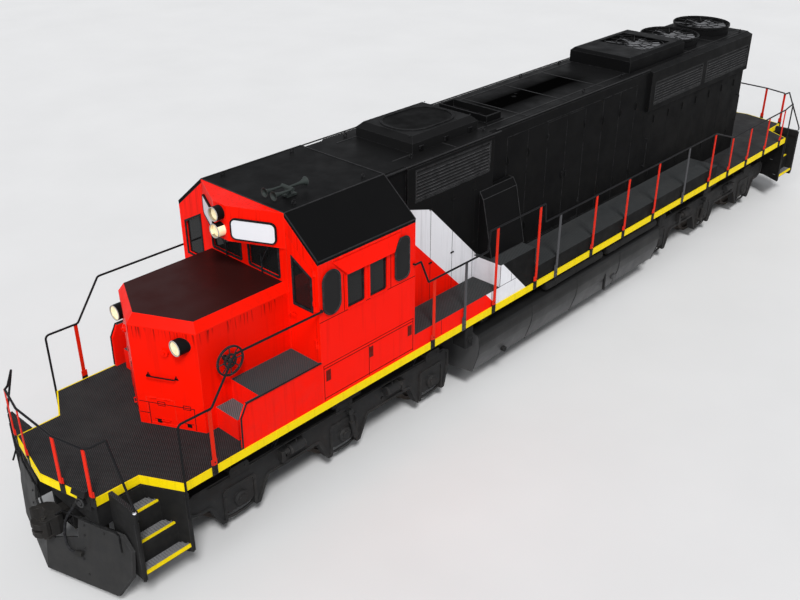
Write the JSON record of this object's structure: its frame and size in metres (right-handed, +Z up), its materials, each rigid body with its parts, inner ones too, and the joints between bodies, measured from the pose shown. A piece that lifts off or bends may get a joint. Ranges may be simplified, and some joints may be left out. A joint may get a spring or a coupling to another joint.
{
  "type": "six-axle road-switcher diesel locomotive",
  "caption": "Road-switcher diesel locomotive with a low short hood, cab, long hood with cooling fans, walkways and handrails on two three-axle trucks.",
  "frame": {"origin": "centre of the footprint at the lowest point of the wheel flanges", "axes": "+X towards the short hood (front), +Y to the left side, +Z up"},
  "size_m": [20.9396, 3.184, 4.7179],
  "materials": {
    "underframe": "dark grey paint, dusty",
    "deck_edge": "yellow safety paint",
    "step_wells": "dark grey paint, anti-slip tops",
    "plow": "dark grey paint, dusty",
    "rear_pilot": "dark grey paint, dusty",
    "fuel_tank": "dark grey paint, dusty",
    "air_reservoirs": "dark grey paint, dusty",
    "raised_walkways": "dark grey paint, anti-slip tops",
    "blower_duct": "black paint",
    "battery_boxes": "bright red paint",
    "nose_shell": "bright red paint",
    "nose_lamps": "lamp lens in a dark housing",
    "brake_wheel": "black paint",
    "cab_walls": "bright red paint",
    "cab_roof": "black paint",
    "cab_glass": "tinted window glass",
    "cab_floor": "floor plate",
    "crew_seats": "black upholstery",
    "control_stand": "grey-green enamel",
    "headlights": "lamp lens in a dark housing",
    "number_boards": "blank white board",
    "sunshades": "bright red paint",
    "wind_deflectors": "black paint",
    "horn": "black paint",
    "hood_intake": "black paint",
    "hood_engine": "black paint",
    "hood_radiator": "black paint",
    "hood_grilles": "black paint",
    "filter_hatch": "black paint",
    "exhaust_stack": "sooty steel",
    "fan_box": "black paint",
    "fan_shrouds": "grey paint",
    "engine_block": "grey-green enamel",
    "handrails": "black paint",
    "stanchions": "bright red paint",
    "brake_hose": "ribbed rubber hose",
    "hose_coupling": "cast fitting",
    "coupler_front": "dark cast steel",
    "coupler_rear": "dark cast steel",
    "cab_door_front": "bright red paint",
    "cab_door_rear": "bright red paint",
    "truck_frame_front": "dark grey paint, dusty",
    "truck_gear_front": "dark cast steel",
    "truck_frame_rear": "dark grey paint, dusty",
    "truck_gear_rear": "dark cast steel",
    "fan_1": "cast blades",
    "fan_2": "cast blades",
    "fan_3": "cast blades",
    "hood_door_left_front": "black paint",
    "hood_door_left_rear": "black paint",
    "hood_door_right_front": "black paint",
    "hood_door_right_rear": "black paint",
    "wheelset_1": "rolled steel with dusty faces",
    "wheelset_2": "rolled steel with dusty faces",
    "wheelset_3": "rolled steel with dusty faces",
    "wheelset_4": "rolled steel with dusty faces",
    "wheelset_5": "rolled steel with dusty faces",
    "wheelset_6": "rolled steel with dusty faces"
  },
  "bodies": {
    "locomotive": {"underframe": "underframe", "deck_edge": "deck_edge", "step_wells": "step_wells", "plow": "plow", "rear_pilot": "rear_pilot", "fuel_tank": "fuel_tank", "air_reservoirs": "air_reservoirs", "raised_walkways": "raised_walkways", "blower_duct": "blower_duct", "battery_boxes": "battery_boxes", "nose_shell": "nose_shell", "nose_lamps": "nose_lamps", "brake_wheel": "brake_wheel", "cab_walls": "cab_walls", "cab_roof": "cab_roof", "cab_glass": "cab_glass", "cab_floor": "cab_floor", "crew_seats": "crew_seats", "control_stand": "control_stand", "headlights": "headlights", "number_boards": "number_boards", "sunshades": "sunshades", "wind_deflectors": "wind_deflectors", "horn": "horn", "hood_intake": "hood_intake", "hood_engine": "hood_engine", "hood_radiator": "hood_radiator", "hood_grilles": "hood_grilles", "filter_hatch": "filter_hatch", "exhaust_stack": "exhaust_stack", "fan_box": "fan_box", "fan_shrouds": "fan_shrouds", "engine_block": "engine_block", "handrails": "handrails", "stanchions": "stanchions", "brake_hose": "brake_hose", "hose_coupling": "hose_coupling"},
    "coupler_front": {"coupler_front": "coupler_front"},
    "coupler_rear": {"coupler_rear": "coupler_rear"},
    "cab_door_front": {"cab_door_front": "cab_door_front"},
    "cab_door_rear": {"cab_door_rear": "cab_door_rear"},
    "truck_front": {"truck_frame_front": "truck_frame_front", "truck_gear_front": "truck_gear_front"},
    "truck_rear": {"truck_frame_rear": "truck_frame_rear", "truck_gear_rear": "truck_gear_rear"},
    "fan_1": {"fan_1": "fan_1"},
    "fan_2": {"fan_2": "fan_2"},
    "fan_3": {"fan_3": "fan_3"},
    "hood_door_left_front": {"hood_door_left_front": "hood_door_left_front"},
    "hood_door_left_rear": {"hood_door_left_rear": "hood_door_left_rear"},
    "hood_door_right_front": {"hood_door_right_front": "hood_door_right_front"},
    "hood_door_right_rear": {"hood_door_right_rear": "hood_door_right_rear"},
    "wheelset_1": {"wheelset_1": "wheelset_1"},
    "wheelset_2": {"wheelset_2": "wheelset_2"},
    "wheelset_3": {"wheelset_3": "wheelset_3"},
    "wheelset_4": {"wheelset_4": "wheelset_4"},
    "wheelset_5": {"wheelset_5": "wheelset_5"},
    "wheelset_6": {"wheelset_6": "wheelset_6"}
  },
  "joints": [
    {"name": "truck_front_swivel", "type": "hinge", "parent": "locomotive", "child": "truck_front", "pos_m": [5.86, 0, 1.028], "axis": [0, 0, 1], "range_deg": [-4, 4]},
    {"name": "truck_rear_swivel", "type": "hinge", "parent": "locomotive", "child": "truck_rear", "pos_m": [-5.86, 0, 1.028], "axis": [0, 0, 1], "range_deg": [-4, 4]},
    {"name": "wheelset_1_spin", "type": "hinge", "parent": "truck_front", "child": "wheelset_1", "pos_m": [7.925, 0, 0.536], "axis": [0, 1, 0], "continuous": true},
    {"name": "wheelset_2_spin", "type": "hinge", "parent": "truck_front", "child": "wheelset_2", "pos_m": [5.86, 0, 0.536], "axis": [0, 1, 0], "continuous": true},
    {"name": "wheelset_3_spin", "type": "hinge", "parent": "truck_front", "child": "wheelset_3", "pos_m": [3.795, 0, 0.536], "axis": [0, 1, 0], "continuous": true},
    {"name": "wheelset_4_spin", "type": "hinge", "parent": "truck_rear", "child": "wheelset_4", "pos_m": [-7.925, 0, 0.536], "axis": [0, 1, 0], "continuous": true},
    {"name": "wheelset_5_spin", "type": "hinge", "parent": "truck_rear", "child": "wheelset_5", "pos_m": [-5.86, 0, 0.536], "axis": [0, 1, 0], "continuous": true},
    {"name": "wheelset_6_spin", "type": "hinge", "parent": "truck_rear", "child": "wheelset_6", "pos_m": [-3.795, 0, 0.536], "axis": [0, 1, 0], "continuous": true},
    {"name": "coupler_front_swing", "type": "hinge", "parent": "locomotive", "child": "coupler_front", "pos_m": [9.5, 0, 0.904], "axis": [0, 0, 1], "range_deg": [-5, 5]},
    {"name": "coupler_rear_swing", "type": "hinge", "parent": "locomotive", "child": "coupler_rear", "pos_m": [-9.5, 0, 0.904], "axis": [0, 0, 1], "range_deg": [-5, 5]},
    {"name": "cab_door_front_hinge", "type": "hinge", "parent": "locomotive", "child": "cab_door_front", "pos_m": [6.616, 1.467, 3.228], "axis": [0, 0, 1], "range_deg": [0, 90]},
    {"name": "cab_door_rear_hinge", "type": "hinge", "parent": "locomotive", "child": "cab_door_rear", "pos_m": [4.628, -1.467, 3.228], "axis": [0, 0, 1], "range_deg": [0, 90]},
    {"name": "fan_1_spin", "type": "hinge", "parent": "locomotive", "child": "fan_1", "pos_m": [-3.83, 0, 4.5], "axis": [0, 0, 1], "continuous": true},
    {"name": "fan_2_spin", "type": "hinge", "parent": "locomotive", "child": "fan_2", "pos_m": [-5.32, 0, 4.5], "axis": [0, 0, 1], "continuous": true},
    {"name": "fan_3_spin", "type": "hinge", "parent": "locomotive", "child": "fan_3", "pos_m": [-6.77, 0, 4.5], "axis": [0, 0, 1], "continuous": true},
    {"name": "hood_door_left_front_hinge", "type": "hinge", "parent": "locomotive", "child": "hood_door_left_front", "pos_m": [0.344, 0.859, 3], "axis": [0, 0, -1], "range_deg": [0, 110]},
    {"name": "hood_door_left_rear_hinge", "type": "hinge", "parent": "locomotive", "child": "hood_door_left_rear", "pos_m": [-0.844, 0.859, 3], "axis": [0, 0, 1], "range_deg": [0, 110]},
    {"name": "hood_door_right_front_hinge", "type": "hinge", "parent": "locomotive", "child": "hood_door_right_front", "pos_m": [0.344, -0.859, 3], "axis": [0, 0, 1], "range_deg": [0, 110]},
    {"name": "hood_door_right_rear_hinge", "type": "hinge", "parent": "locomotive", "child": "hood_door_right_rear", "pos_m": [-0.844, -0.859, 3], "axis": [0, 0, -1], "range_deg": [0, 110]}
  ]
}
